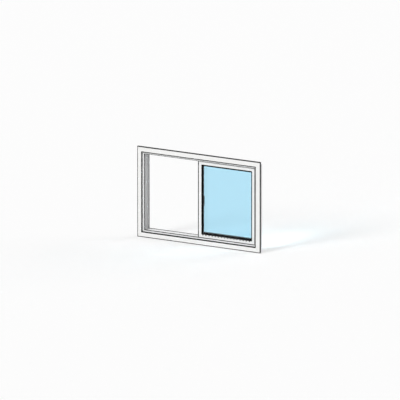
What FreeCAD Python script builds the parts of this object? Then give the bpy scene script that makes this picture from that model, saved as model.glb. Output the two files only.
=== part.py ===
import FreeCAD, Part
import Sketcher
import os
import re

# Two-track sliding window with a flat outside casing. The right half of the frame holds a fixed sash
# in the front track, and the sliding sash is parked open behind it in the rear track.
# The origin is at the middle of the casing's bottom edge, on its back face: +X to the right as seen
# from outside, +Y from outside to inside, +Z up. Sizes are in millimetres.

doc = FreeCAD.newDocument("SlidingWindow")
Vector = FreeCAD.Vector
DEPTH = Vector(0, 1, 0)

SIZES = {
    # Casing: four flat boards round the opening, mitred, rebated behind to lap the frame
    "casing_span": 2100,
    "casing_rise": 1350,
    "casing_width": 75,
    "casing_thick": 26,
    "casing_lap": 12,
    "rebate_deep": 3,
    "rebate_play": 1,
    "casing_arris": 2,
    # Frame section: a base along the opening, an outside lip, a middle fin and an inside lip
    "frame_face": 44,
    "frame_base": 24,
    "frame_wall": 2.5,
    "front_lip": 23,
    "middle_fin": 5,
    "rear_lip": 9,
    "frame_arris": 1,
    "fixing_hole": 8,
    "fixing_spacing": 750,
    # Sashes: stiles run through from top to bottom and the rails stand between them
    "sash_deep": 45,
    "sash_play": 2,
    "side_stile": 64,
    "meeting_stile": 44,
    "sash_rail": 62,
    "sash_wall": 2.5,
    "sash_arris": 1.5,
    "side_entry": 5,
    "fixed_lift": 2,
    "sliding_lift": 6,
    "head_entry": 8,
    "half_lap": 25,
    "parked_edge": -73,
    "edge_groove": 16,
    "edge_groove_deep": 4,
    "roller_groove": 16,
    "roller_groove_deep": 26,
    # Glazing: a double pane on setting blocks, held by a black bead on each side
    "glass_set_back": 18,
    "pane_thick": 4,
    "pane_gap": 12,
    "glass_play": 3,
    "seal_set_back": 0.5,
    "spacer_inset": 5,
    "spacer_width": 6.5,
    "bead_set_back": 2,
    "bead_tall": 16,
    "bead_slope": 4,
    "bead_lip": 3,
    "bead_foot": 2.4,
    "bead_foot_deep": 2,
    "foot_play": 0.3,
    "mitre_play": 0.2,
    "mitre_over": 5,
    "block_length": 80,
    "block_inset": 120,
    # Track rail, rollers, guides and stops
    "rail_foot": 14,
    "rail_foot_thick": 1.5,
    "rail_web": 3,
    "rail_tall": 10,
    "rail_crown": 1.2,
    "rail_end_play": 1,
    "track_notch": 8,
    "wheel_radius": 10,
    "wheel_run_radius": 8,
    "wheel_wide": 7,
    "wheel_run_wide": 4,
    "axle_radius": 2,
    "axle_play": 0.05,
    "housing_long": 62,
    "housing_cheek": 2,
    "housing_play": 0.3,
    "housing_tall": 24.5,
    "roller_inset": 150,
    "packer_long": 60,
    "packer_inset": 110,
    "lift_play": 3,
    "lift_block_inset": 60,
    "stop_wide": 26,
    "stop_tall": 18,
    "stop_play": 0.3,
    "pile_wide": 5,
    "pile_edge": 4,
    "pile_play": 0.3,
    # Interlock: a hooked strip on the facing side of each meeting stile
    "hook_base": 24,
    "hook_base_thick": 2,
    "hook_leg": 1.5,
    "hook_reach": 6.7,
    "hook_lip": 8,
    "hook_end_play": 4,
    "hook_inset": 18,
    # Pull handle on the room side of the closing stile
    "handle_bottom": 531,
    "handle_long": 177,
    "handle_wide": 22,
    "handle_out": 52,
    "handle_inset": 49,
    "grip_thick": 13,
    "grip_slope": 16,
    "handle_foot": 22,
    "handle_round": 8,
    "handle_edge": 3,
    "plate_thick": 4,
}

sheet = doc.addObject("Spreadsheet::Sheet", "Sizes")
for row, (alias, number) in enumerate(SIZES.items(), start=1):
    sheet.set(f"A{row}", alias.replace("_", " "))
    sheet.set(f"B{row}", str(number))
    sheet.setAlias(f"B{row}", alias)
doc.recompute()


def bound(words):
    """An expression written with bare size names, as the document reads it."""
    return re.sub(r"[a-z][a-z_]*", r"Sizes.\g<0>", words)


def size(words):
    """The number that such an expression comes to."""
    return float(sheet.evalExpression(bound(words)))


# Places worked out once from the driving sizes
CHANNEL = "(sash_deep + 2 * sash_play)"
FRAME_DEEP = f"(front_lip + 2 * {CHANNEL} + middle_fin + rear_lip)"
FRAME_EDGE = "(casing_width - casing_lap)"
FRAME_SPAN = f"(casing_span - 2 * {FRAME_EDGE})"
FRAME_RISE = f"(casing_rise - 2 * {FRAME_EDGE})"
CLEAR_HALF = f"({FRAME_SPAN} / 2 - frame_face)"
CLEAR_FOOT = f"({FRAME_EDGE} + frame_face)"
CLEAR_HEAD = f"(casing_rise - {FRAME_EDGE} - frame_face)"
FLOOR = f"({FRAME_EDGE} + frame_base)"
CEILING = f"(casing_rise - {FLOOR})"
FIXED_FRONT = "(front_lip + sash_play - rebate_deep)"
SLIDING_FRONT = f"({FIXED_FRONT} + sash_deep + 2 * sash_play + middle_fin)"
SASH_SPAN = f"({CLEAR_HALF} + side_entry + half_lap)"
SASH_RISE = f"({CLEAR_HEAD} + head_entry - {FLOOR} - fixed_lift)"
DAYLIGHT_SPAN = f"({SASH_SPAN} - side_stile - meeting_stile)"
DAYLIGHT_RISE = f"({SASH_RISE} - 2 * sash_rail)"
UNIT_DEEP = "(2 * pane_thick + pane_gap)"
TRACK_MIDDLE = f"({SLIDING_FRONT} + sash_deep / 2)"
WHEEL_CENTRE = f"({FLOOR} + rail_tall + wheel_run_radius)"


def place(piece, right="0", inward="0", up="0", axis=DEPTH, turn=0):
    """Turns a piece about an axis and ties its place to the sheet."""
    piece.Placement = FreeCAD.Placement(Vector(0, 0, 0), FreeCAD.Rotation(axis, turn))
    for letter, words in zip("xyz", (right, inward, up)):
        piece.setExpression(f".Placement.Base.{letter}", bound(words))
    return piece


def new_body(label):
    body = doc.addObject("PartDesign::Body", label)
    body.Label = label
    return body


def sketch_on(body, role, name):
    """A sketch attached to one of the body's own origin planes."""
    sketch = body.newObject("Sketcher::SketchObject", f"{body.Name}_{name}")
    plane = next(item for item in body.Origin.OriginFeatures if item.Role == role)
    sketch.AttachmentSupport = [(plane, "")]
    sketch.MapMode = "FlatFace"
    return sketch


def tie_point(sketch, kind, line, words, value):
    """Holds a line's start point at a distance from the sketch's origin."""
    if words == "0":
        axis = -2 if kind == "DistanceX" else -1
        sketch.addConstraint(Sketcher.Constraint("PointOnObject", line, 1, axis))
        return
    number = sketch.addConstraint(Sketcher.Constraint(kind, -1, 1, line, 1, value))
    sketch.setExpression(f"Constraints[{number}]", bound(words))


def draw_loop(sketch, corners):
    """A closed outline through corners, each tied to the sheet in both directions."""
    points = [Vector(size(one), size(other), 0) for one, other in corners]
    count = len(points)
    first = sketch.GeometryCount
    for n in range(count):
        sketch.addGeometry(Part.LineSegment(points[n], points[(n + 1) % count]), False)
    for n in range(count):
        after = first + (n + 1) % count
        sketch.addConstraint(Sketcher.Constraint("Coincident", first + n, 2, after, 1))
    for n, words in enumerate(corners):
        tie_point(sketch, "DistanceX", first + n, words[0], points[n].x)
        tie_point(sketch, "DistanceY", first + n, words[1], points[n].y)


def draw_circle(sketch, across, along, radius):
    """A circle whose centre and radius are tied to the sheet."""
    centre = Vector(size(across), size(along), 0)
    shape = Part.Circle(centre, Vector(0, 0, 1), size(radius))
    circle = sketch.addGeometry(shape, False)
    for kind, words, value in (("DistanceX", across, centre.x), ("DistanceY", along, centre.y)):
        if words == "0":
            axis = -2 if kind == "DistanceX" else -1
            sketch.addConstraint(Sketcher.Constraint("PointOnObject", circle, 3, axis))
            continue
        number = sketch.addConstraint(Sketcher.Constraint(kind, -1, 1, circle, 3, value))
        sketch.setExpression(f"Constraints[{number}]", bound(words))
    number = sketch.addConstraint(Sketcher.Constraint("Radius", circle, size(radius)))
    sketch.setExpression(f"Constraints[{number}]", bound(radius))


def pad(body, sketch, length):
    """Draws a section out evenly to both sides of its plane."""
    feature = body.newObject("PartDesign::Pad", f"{sketch.Name}_Pad")
    feature.Profile = sketch
    feature.SideType = "Symmetric"
    feature.setExpression("Length", bound(length))
    sketch.Visibility = False
    doc.recompute()
    return feature


def cut_through(body, sketch):
    """Cuts a sketch right through its body both ways, and makes sure that material went."""
    before = body.Shape.Volume
    feature = body.newObject("PartDesign::Pocket", f"{sketch.Name}_Cut")
    feature.Profile = sketch
    feature.Type = "ThroughAll"
    feature.SideType = "Symmetric"
    sketch.Visibility = False
    doc.recompute()
    if body.Shape.Volume > before - 1e-3:
        raise ValueError(f"{sketch.Name} cuts nothing from {body.Label}")
    return feature


def round_edges(body, base, radius, chosen):
    """Rounds the edges of a feature that chosen picks."""
    names = [f"Edge{n}" for n, edge in enumerate(base.Shape.Edges, start=1) if chosen(edge)]
    feature = body.newObject("PartDesign::Fillet", f"{base.Name}_Round")
    feature.Base = (base, names)
    feature.setExpression("Radius", bound(radius))
    doc.recompute()
    return feature


def runs_along_at(corners):
    """Picks the straight edges of a bar that run along it at these corners of its section."""
    spots = [Vector(size(across), size(along), 0) for across, along in corners]

    def chosen(edge):
        ends = [Vector(v.X, v.Y, 0) for v in edge.Vertexes]
        return len(ends) == 2 and any(
            all(end.distanceToPoint(spot) < 1e-4 for end in ends) for spot in spots
        )

    return chosen


def bar(label, loops, length, rounds=(), arris="0", mitre=None, play="0"):
    """A straight bar of one section. The section's first direction runs from the bar's outer edge
    towards the opening and its second from outside to inside; mitre is how far across it reaches."""
    body = new_body(label)
    section = sketch_on(body, "XY_Plane", "Section")
    for loop in loops:
        draw_loop(section, loop)
    solid = pad(body, section, length)
    if rounds:
        round_edges(body, solid, arris, runs_along_at(rounds))
    if mitre:
        ends = sketch_on(body, "XZ_Plane", "Mitres")
        for sign in ("", "-"):
            line = f"({length} / 2 - {play})"
            draw_loop(
                ends,
                [
                    ("-mitre_over", f"{sign}({line} + mitre_over)"),
                    (f"{mitre} + mitre_over", f"{sign}({line} - {mitre} - mitre_over)"),
                    (f"{mitre} + mitre_over", f"{sign}({line} + mitre_over)"),
                ],
            )
        cut_through(body, ends)
    return body


def box(label, long, deep, tall, right, inward, up):
    """A plain block from its left, outside, bottom corner."""
    piece = doc.addObject("Part::Box", label)
    piece.Label = label
    piece.setExpression("Length", bound(long))
    piece.setExpression("Width", bound(deep))
    piece.setExpression("Height", bound(tall))
    return place(piece, right, inward, up)


def together(label, pieces):
    """Like pieces that don't touch, as one sub-part."""
    group = doc.addObject("Part::Compound", label)
    group.Label = label
    group.Links = pieces
    return group


SUB_PARTS = []


def keep(piece):
    SUB_PARTS.append(piece)
    return piece


# A turn about the depth axis lays the left upright bar along each side of an opening
TURNS = {"left": 0, "head": 90, "right": 180, "sill": -90}


def surround(label, names, loops, span, rise, centre, inward, up, **how):
    """Four bars mitred round an opening of this outside span and rise, from its bottom edge up."""
    spots = {
        "left": (f"{centre} - {span} / 2", f"{up} + {rise} / 2", rise),
        "right": (f"{centre} + {span} / 2", f"{up} + {rise} / 2", rise),
        "head": (centre, f"{up} + {rise}", span),
        "sill": (centre, up, span),
    }
    bars = []
    for side, name in names.items():
        right, height, length = spots[side]
        piece = bar(f"{label}_{name}", loops, length, **how)
        bars.append(place(piece, right, inward, height, DEPTH, TURNS[side]))
    return bars


# Casing

REBATE = "(casing_width - casing_lap - rebate_play)"
CASING_SECTION = [
    ("0", "0"),
    ("casing_width", "0"),
    ("casing_width", "casing_thick - rebate_deep"),
    (REBATE, "casing_thick - rebate_deep"),
    (REBATE, "casing_thick"),
    ("0", "casing_thick"),
]
for board in surround(
    "casing",
    {"head": "head", "sill": "sill", "left": "left", "right": "right"},
    [CASING_SECTION],
    "casing_span",
    "casing_rise",
    "0",
    "-casing_thick",
    "0",
    rounds=CASING_SECTION[:2],
    arris="casing_arris",
    mitre="casing_width",
):
    keep(board)


# Frame: an extruded two-track section with hollow chambers, mitred at the corners

FRONT_CHANNEL = ("front_lip", f"(front_lip + {CHANNEL})")
REAR_CHANNEL = (f"({FRONT_CHANNEL[1]} + middle_fin)", f"({FRAME_DEEP} - rear_lip)")
FRAME_OUTLINE = [
    ("0", "0"),
    ("frame_face", "0"),
    ("frame_face", FRONT_CHANNEL[0]),
    ("frame_base", FRONT_CHANNEL[0]),
    ("frame_base", FRONT_CHANNEL[1]),
    ("frame_face", FRONT_CHANNEL[1]),
    ("frame_face", REAR_CHANNEL[0]),
    ("frame_base", REAR_CHANNEL[0]),
    ("frame_base", REAR_CHANNEL[1]),
    ("frame_face", REAR_CHANNEL[1]),
    ("frame_face", FRAME_DEEP),
    ("0", FRAME_DEEP),
]
FRAME_TIPS = [corner for corner in FRAME_OUTLINE if corner[0] == "frame_face"]


def chamber(across_from, across_to, along_from, along_to):
    """A hollow running the length of a bar."""
    return [
        (across_from, along_from),
        (across_to, along_from),
        (across_to, along_to),
        (across_from, along_to),
    ]


FRAME_LOOPS = [
    FRAME_OUTLINE,
    chamber("frame_wall", "frame_face - frame_wall", "frame_wall", "front_lip - frame_wall"),
]
for near, far in (FRONT_CHANNEL, REAR_CHANNEL):
    FRAME_LOOPS.append(chamber("frame_wall", "frame_base - frame_wall", near, far))

frame_bars = surround(
    "frame",
    {"head": "head", "sill": "sill", "left": "left_jamb", "right": "right_jamb"},
    FRAME_LOOPS,
    FRAME_SPAN,
    FRAME_RISE,
    "0",
    "-rebate_deep",
    FRAME_EDGE,
    rounds=FRAME_TIPS,
    arris="frame_arris",
    mitre="frame_face",
)
for piece in frame_bars:
    if piece.Label.endswith("jamb"):
        holes = sketch_on(piece, "YZ_Plane", "Holes")
        for sign in ("", "-"):
            draw_circle(
                holes,
                f"{TRACK_MIDDLE} + rebate_deep",
                f"{sign}fixing_spacing / 2",
                "fixing_hole / 2",
            )
        cut_through(piece, holes)
    keep(piece)


# Sash sections

OUTER_BEAD = "(glass_set_back - bead_set_back)"
INNER_BEAD = f"(sash_deep - bead_set_back - glass_set_back - {UNIT_DEEP})"
OUTER_FOOT = f"(bead_set_back + {OUTER_BEAD} / 2)"
INNER_FOOT = f"(glass_set_back + {UNIT_DEEP} + {INNER_BEAD} / 2)"
FOOT_GROOVE = "(bead_foot_deep + foot_play)"
FOOT_HALF = "(bead_foot / 2 + foot_play)"


def glazing_side(width):
    """The face of a sash bar towards the glass, with the two grooves that the beads clip into."""
    corners = [(width, "sash_deep")]
    for middle in (INNER_FOOT, OUTER_FOOT):
        near, far = f"{middle} - {FOOT_HALF}", f"{middle} + {FOOT_HALF}"
        corners += [
            (width, far),
            (f"{width} - {FOOT_GROOVE}", far),
            (f"{width} - {FOOT_GROOVE}", near),
            (width, near),
        ]
    return corners + [(width, "0")]


def outer_edge(groove_wide, groove_deep):
    """The edge of a sash bar away from the glass, with a groove along its middle."""
    near = f"(sash_deep - {groove_wide}) / 2"
    far = f"(sash_deep + {groove_wide}) / 2"
    return [
        ("0", "0"),
        ("0", near),
        (groove_deep, near),
        (groove_deep, far),
        ("0", far),
        ("0", "sash_deep"),
    ]


def four_arrises(width):
    return [("0", "0"), ("0", "sash_deep"), (width, "sash_deep"), (width, "0")]


def hollow(from_edge, width):
    """The main chamber of a sash bar, between its outer edge or groove and the glazing grooves."""
    return chamber(
        f"{from_edge} + sash_wall",
        f"{width} - {FOOT_GROOVE} - sash_wall",
        "sash_wall",
        "sash_deep - sash_wall",
    )


SIDE_LOOPS = [
    outer_edge("edge_groove", "edge_groove_deep") + glazing_side("side_stile"),
    hollow("edge_groove_deep", "side_stile"),
]
MEETING_LOOPS = [
    [("0", "0"), ("0", "sash_deep")] + glazing_side("meeting_stile"),
    hollow("0", "meeting_stile"),
]
ROLLER_NEAR = "((sash_deep - roller_groove) / 2)"
RAIL_LOOPS = [
    outer_edge("roller_groove", "roller_groove_deep") + glazing_side("sash_rail"),
    hollow("roller_groove_deep", "sash_rail"),
    chamber("sash_wall", "roller_groove_deep", "sash_wall", f"{ROLLER_NEAR} - sash_wall"),
    chamber(
        "sash_wall",
        "roller_groove_deep",
        f"sash_deep - {ROLLER_NEAR} + sash_wall",
        "sash_deep - sash_wall",
    ),
]

# A bead, from the sash bar towards the glass and from outside to inside
OUTER_BEAD_SECTION = [
    ("0", "0"),
    ("bead_tall - bead_slope", "0"),
    ("bead_tall", f"{OUTER_BEAD} - bead_lip"),
    ("bead_tall", OUTER_BEAD),
    ("0", OUTER_BEAD),
    ("0", f"({OUTER_BEAD} + bead_foot) / 2"),
    ("-bead_foot_deep", f"({OUTER_BEAD} + bead_foot) / 2"),
    ("-bead_foot_deep", f"({OUTER_BEAD} - bead_foot) / 2"),
    ("0", f"({OUTER_BEAD} - bead_foot) / 2"),
]
INNER_BEAD_SECTION = [
    ("0", "0"),
    ("bead_tall", "0"),
    ("bead_tall", "bead_lip"),
    ("bead_tall - bead_slope", INNER_BEAD),
    ("0", INNER_BEAD),
    ("0", f"({INNER_BEAD} + bead_foot) / 2"),
    ("-bead_foot_deep", f"({INNER_BEAD} + bead_foot) / 2"),
    ("-bead_foot_deep", f"({INNER_BEAD} - bead_foot) / 2"),
    ("0", f"({INNER_BEAD} - bead_foot) / 2"),
]


def notch_for_track(stile):
    """Clears the foot of a stile over the track rail."""
    sketch = sketch_on(stile, "YZ_Plane", "Notch")
    foot = f"(-{SASH_RISE} / 2)"
    draw_loop(
        sketch,
        [
            (ROLLER_NEAR, f"{foot} - mitre_over"),
            (f"sash_deep - {ROLLER_NEAR}", f"{foot} - mitre_over"),
            (f"sash_deep - {ROLLER_NEAR}", f"{foot} + track_notch"),
            (ROLLER_NEAR, f"{foot} + track_notch"),
        ],
    )
    cut_through(stile, sketch)


def sash(name, side_name, side_is_left, left, front, foot, notched):
    """One sash with its glazing: its left edge, outside face and bottom edge are expressions."""
    right = f"({left} + {SASH_SPAN})"
    middle = f"({foot} + {SASH_RISE} / 2)"
    left_stile = "side_stile" if side_is_left else "meeting_stile"
    edges = {
        side_name: (SIDE_LOOPS, "side_stile", side_is_left),
        "meeting_stile": (MEETING_LOOPS, "meeting_stile", not side_is_left),
    }
    for stile_name, (loops, width, on_left) in edges.items():
        stile = bar(f"{name}_{stile_name}", loops, SASH_RISE, four_arrises(width), "sash_arris")
        place(stile, left if on_left else right, front, middle, DEPTH, 0 if on_left else 180)
        if notched:
            notch_for_track(stile)
        keep(stile)
    daylight_left = f"({left} + {left_stile})"
    centre = f"({daylight_left} + {DAYLIGHT_SPAN} / 2)"
    for rail_name, height, turn in (
        ("bottom_rail", foot, TURNS["sill"]),
        ("top_rail", f"{foot} + {SASH_RISE}", TURNS["head"]),
    ):
        rail = bar(
            f"{name}_{rail_name}", RAIL_LOOPS, DAYLIGHT_SPAN, four_arrises("sash_rail"), "sash_arris"
        )
        keep(place(rail, centre, front, height, DEPTH, turn))
    glazing(name, daylight_left, centre, front, f"({foot} + sash_rail)")


def glazing(name, left, centre, front, foot):
    """The double pane with its spacer and edge sealant, its blocks, and the beads on both sides."""
    glass = f"({front} + glass_set_back)"
    glass_span = f"({DAYLIGHT_SPAN} - 2 * glass_play)"
    glass_rise = f"({DAYLIGHT_RISE} - 2 * glass_play)"
    for pane_name, inward in (
        ("outer_pane", glass),
        ("inner_pane", f"{glass} + pane_thick + pane_gap"),
    ):
        keep(
            box(
                f"{name}_{pane_name}",
                glass_span,
                "pane_thick",
                glass_rise,
                f"{left} + glass_play",
                inward,
                f"{foot} + glass_play",
            )
        )
    for ring_name, insets in (
        ("edge_sealant", ("seal_set_back", "spacer_inset")),
        ("spacer", ("spacer_inset", "(spacer_inset + spacer_width)")),
    ):
        ring = doc.addObject("Part::Cut", f"{name}_{ring_name}")
        ring.Label = f"{name}_{ring_name}"
        ring.Base, ring.Tool = (
            box(
                f"{name}_{ring_name}_{part}",
                f"{glass_span} - 2 * {inset}",
                "pane_gap",
                f"{glass_rise} - 2 * {inset}",
                f"{left} + glass_play + {inset}",
                f"{glass} + pane_thick",
                f"{foot} + glass_play + {inset}",
            )
            for part, inset in zip(("outside", "inside"), insets)
        )
        keep(ring)
    blocks = []
    for side, spot in (
        ("left", "block_inset"),
        ("right", f"{DAYLIGHT_SPAN} - block_inset - block_length"),
    ):
        blocks.append(
            box(
                f"{name}_setting_block_{side}",
                "block_length",
                UNIT_DEEP,
                "glass_play",
                f"{left} + {spot}",
                glass,
                foot,
            )
        )
    keep(together(f"{name}_setting_blocks", blocks))
    for bead_name, section, inward in (
        ("outer_beads", OUTER_BEAD_SECTION, f"{front} + bead_set_back"),
        ("inner_beads", INNER_BEAD_SECTION, f"{glass} + {UNIT_DEEP}"),
    ):
        beads = surround(
            f"{name}_{bead_name}",
            {side: side for side in TURNS},
            [section],
            DAYLIGHT_SPAN,
            DAYLIGHT_RISE,
            centre,
            inward,
            foot,
            mitre="bead_tall",
            play="mitre_play",
        )
        keep(together(f"{name}_{bead_name}", beads))


FIXED_FOOT = f"({FLOOR} + fixed_lift)"
SLIDING_FOOT = f"({FLOOR} + sliding_lift)"
FIXED_LEFT = "(-half_lap)"
SLIDING_LEFT = "(parked_edge)"
sash("fixed_sash", "jamb_stile", False, FIXED_LEFT, FIXED_FRONT, FIXED_FOOT, False)
sash("sliding_sash", "closing_stile", True, SLIDING_LEFT, SLIDING_FRONT, SLIDING_FOOT, True)


# Packers under the fixed sash and blocks over both sashes in the head channels

packer_spots = {
    "left": "packer_inset",
    "middle": f"({SASH_SPAN} - packer_long) / 2",
    "right": f"{SASH_SPAN} - packer_inset - packer_long",
}
packers = []
for side, spot in packer_spots.items():
    packers.append(
        box(
            f"packer_{side}",
            "packer_long",
            "sash_deep",
            "fixed_lift",
            f"{FIXED_LEFT} + {spot}",
            FIXED_FRONT,
            FLOOR,
        )
    )
keep(together("fixed_sash_packers", packers))

head_blocks = []
for side in ("left", "right"):
    head_blocks.append(
        box(
            f"head_block_{side}",
            "packer_long",
            "sash_deep",
            f"{CEILING} - {FIXED_FOOT} - {SASH_RISE}",
            f"{FIXED_LEFT} + {packer_spots[side]}",
            FIXED_FRONT,
            f"{FIXED_FOOT} + {SASH_RISE}",
        )
    )
keep(together("fixed_sash_head_blocks", head_blocks))

LIFT_BLOCK_TALL = f"({CEILING} - {SLIDING_FOOT} - {SASH_RISE} - lift_play)"
lift_blocks = []
for side, spot in (
    ("left", f"-{CLEAR_HALF} + lift_block_inset"),
    ("right", f"{CLEAR_HALF} - lift_block_inset - packer_long"),
):
    lift_blocks.append(
        box(
            f"lift_block_{side}",
            "packer_long",
            "sash_deep",
            LIFT_BLOCK_TALL,
            spot,
            SLIDING_FRONT,
            f"{CEILING} - {LIFT_BLOCK_TALL}",
        )
    )
keep(together("anti_lift_blocks", lift_blocks))


# Track rail on the floor of the rear channel, and the stop astride its right end

CHANNEL_END = f"({CLEAR_HALF} + frame_face - frame_base)"

RAIL_OUTLINE = [
    ("0", "-rail_foot / 2"),
    ("rail_foot_thick", "-rail_foot / 2"),
    ("rail_foot_thick", "-rail_web / 2"),
    ("rail_tall", "-rail_web / 2"),
    ("rail_tall", "rail_web / 2"),
    ("rail_foot_thick", "rail_web / 2"),
    ("rail_foot_thick", "rail_foot / 2"),
    ("0", "rail_foot / 2"),
]
track_rail = bar(
    "track_rail",
    [RAIL_OUTLINE],
    f"2 * {CHANNEL_END} - 2 * rail_end_play",
    [("rail_tall", "-rail_web / 2"), ("rail_tall", "rail_web / 2")],
    "rail_crown",
)
keep(place(track_rail, "0", TRACK_MIDDLE, FLOOR, DEPTH, TURNS["sill"]))

PARKED_RIGHT = f"({SLIDING_LEFT} + {SASH_SPAN})"
STOP_LONG = f"({CHANNEL_END} - {PARKED_RIGHT} - stop_play)"
NOTCH_HALF = "(rail_foot / 2 + stop_play)"
NOTCH_TOP = "(rail_tall + stop_play)"
travel_stop = bar(
    "travel_stop",
    [
        [
            ("0", "-stop_wide / 2"),
            ("stop_tall", "-stop_wide / 2"),
            ("stop_tall", "stop_wide / 2"),
            ("0", "stop_wide / 2"),
            ("0", NOTCH_HALF),
            (NOTCH_TOP, NOTCH_HALF),
            (NOTCH_TOP, f"-{NOTCH_HALF}"),
            ("0", f"-{NOTCH_HALF}"),
        ]
    ],
    STOP_LONG,
    [("stop_tall", "-stop_wide / 2"), ("stop_tall", "stop_wide / 2")],
    "sash_arris",
)
keep(
    place(travel_stop, f"{CHANNEL_END} - {STOP_LONG} / 2", TRACK_MIDDLE, FLOOR, DEPTH, TURNS["sill"])
)


# Rollers: two housings in the groove under the sliding sash, each with an axle and a grooved wheel


def roller_housing(name):
    """A channel of bent sheet, open below, with the axle's hole through both cheeks."""
    body = new_body(name)
    section = sketch_on(body, "YZ_Plane", "Section")
    half = "(roller_groove / 2 - housing_play)"
    draw_loop(
        section,
        [
            (f"-{half}", "-housing_tall"),
            (f"-{half}", "0"),
            (half, "0"),
            (half, "-housing_tall"),
            (f"{half} - housing_cheek", "-housing_tall"),
            (f"{half} - housing_cheek", "-housing_cheek"),
            (f"-({half} - housing_cheek)", "-housing_cheek"),
            (f"-({half} - housing_cheek)", "-housing_tall"),
        ],
    )
    pad(body, section, "housing_long")
    hole = sketch_on(body, "XZ_Plane", "Axle_Hole")
    draw_circle(hole, "0", f"{WHEEL_CENTRE} - {HOUSING_TOP}", "axle_radius + axle_play")
    cut_through(body, hole)
    return body


def grooved_wheel(name):
    """A wheel turned about the depth axis, with a groove that rides on the track rail."""
    body = new_body(name)
    outline = sketch_on(body, "XY_Plane", "Outline")
    bore = "axle_radius + axle_play"
    draw_loop(
        outline,
        [
            (bore, "-wheel_wide / 2"),
            ("wheel_radius", "-wheel_wide / 2"),
            ("wheel_radius", "-wheel_run_wide / 2"),
            ("wheel_run_radius", "-rail_web / 2"),
            ("wheel_run_radius", "rail_web / 2"),
            ("wheel_radius", "wheel_run_wide / 2"),
            ("wheel_radius", "wheel_wide / 2"),
            (bore, "wheel_wide / 2"),
        ],
    )
    turned = body.newObject("PartDesign::Revolution", f"{name}_Turned")
    turned.Profile = outline
    turned.ReferenceAxis = (outline, ["V_Axis"])
    turned.Angle = 360
    outline.Visibility = False
    return body


def axle(name):
    piece = doc.addObject("Part::Cylinder", name)
    piece.setExpression("Radius", bound("axle_radius"))
    piece.setExpression("Height", bound("roller_groove - 2 * housing_play"))
    return piece


HOUSING_TOP = f"({SLIDING_FOOT} + roller_groove_deep)"
AXLE_BACK = f"({TRACK_MIDDLE} + roller_groove / 2 - housing_play)"
housings, wheels, axles = [], [], []
for side, spot in (
    ("left", f"{SLIDING_LEFT} + roller_inset"),
    ("right", f"{PARKED_RIGHT} - roller_inset"),
):
    housings.append(place(roller_housing(f"roller_housing_{side}"), spot, TRACK_MIDDLE, HOUSING_TOP))
    wheels.append(place(grooved_wheel(f"roller_wheel_{side}"), spot, TRACK_MIDDLE, WHEEL_CENTRE))
    pin = axle(f"roller_axle_{side}")
    axles.append(place(pin, spot, AXLE_BACK, WHEEL_CENTRE, Vector(1, 0, 0), 90))
keep(together("roller_housings", housings))
keep(together("roller_wheels", wheels))
keep(together("roller_axles", axles))


# Pile seals along the top and bottom of both sashes, where they stand between the fins

PILE_THICK = "(sash_play - pile_play)"
for name, left, front, foot in (
    ("fixed_sash", FIXED_LEFT, FIXED_FRONT, FIXED_FOOT),
    ("sliding_sash", SLIDING_LEFT, SLIDING_FRONT, SLIDING_FOOT),
):
    piles = []
    for level, height in (
        ("bottom", f"{foot} + pile_edge"),
        ("top", f"{foot} + {SASH_RISE} - pile_edge - pile_wide"),
    ):
        for face, inward in (("outer", f"{front} - {PILE_THICK}"), ("inner", f"{front} + sash_deep")):
            label = f"{name}_pile_{level}_{face}"
            piles.append(
                box(label, SASH_SPAN, PILE_THICK, "pile_wide", left, inward, height)
            )
    keep(together(f"{name}_pile_seals", piles))


# Interlock: hooked strips that catch in each other when the sliding sash is shut

HOOK_OUTLINE = [
    ("0", "0"),
    ("hook_base", "0"),
    ("hook_base", "hook_base_thick"),
    ("hook_leg", "hook_base_thick"),
    ("hook_leg", "hook_reach - hook_leg"),
    ("hook_lip", "hook_reach - hook_leg"),
    ("hook_lip", "hook_reach"),
    ("0", "hook_reach"),
]
HOOK_LONG = f"({CLEAR_HEAD} - {CLEAR_FOOT} - 2 * hook_end_play)"
HOOK_MIDDLE = f"(({CLEAR_HEAD} + {CLEAR_FOOT}) / 2)"
fixed_hook = bar("fixed_sash_interlock", [HOOK_OUTLINE], HOOK_LONG)
keep(place(fixed_hook, f"{FIXED_LEFT} + hook_inset", f"{FIXED_FRONT} + sash_deep", HOOK_MIDDLE))
sliding_hook = bar("sliding_sash_interlock", [HOOK_OUTLINE], HOOK_LONG)
keep(
    place(
        sliding_hook,
        f"{PARKED_RIGHT} - hook_inset",
        SLIDING_FRONT,
        HOOK_MIDDLE,
        Vector(0, 0, 1),
        180,
    )
)


# Pull handle: a back plate and a grip in one casting, with a finger gap between them

handle = new_body("pull_handle")
side_view = sketch_on(handle, "YZ_Plane", "Side")
draw_loop(
    side_view,
    [
        ("0", "0"),
        ("plate_thick", "0"),
        ("handle_out", "grip_slope"),
        ("handle_out", "handle_long - grip_slope"),
        ("plate_thick", "handle_long"),
        ("0", "handle_long"),
    ],
)
draw_loop(
    side_view,
    [
        ("plate_thick", "handle_foot"),
        ("handle_out - grip_thick", "handle_foot + grip_slope / 2"),
        ("handle_out - grip_thick", "handle_long - handle_foot - grip_slope / 2"),
        ("plate_thick", "handle_long - handle_foot"),
    ],
)
casting = pad(handle, side_view, "handle_wide")


def crosswise_at_grip(edge):
    """The four edges across the grip, at its two outer and two inner bends."""
    ends = edge.Vertexes
    across = len(ends) == 2 and abs(ends[0].X - ends[1].X) > size("handle_wide") / 2
    return across and ends[0].Y > size("handle_out - grip_thick") - 1e-3


def rim_off_the_sash(edge):
    """The edges of both side faces, apart from those that lie on the sash."""
    half = size("handle_wide") / 2
    box_of_edge = edge.BoundBox
    on_side = abs(abs(box_of_edge.Center.x) - half) < 1e-3 and box_of_edge.XLength < 1e-3
    return on_side and box_of_edge.YMax > 1e-3


bends = round_edges(handle, casting, "handle_round", crosswise_at_grip)
round_edges(handle, bends, "handle_edge", rim_off_the_sash)
keep(
    place(
        handle,
        f"{SLIDING_LEFT} + handle_inset",
        f"{SLIDING_FRONT} + sash_deep",
        "handle_bottom",
    )
)


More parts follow.
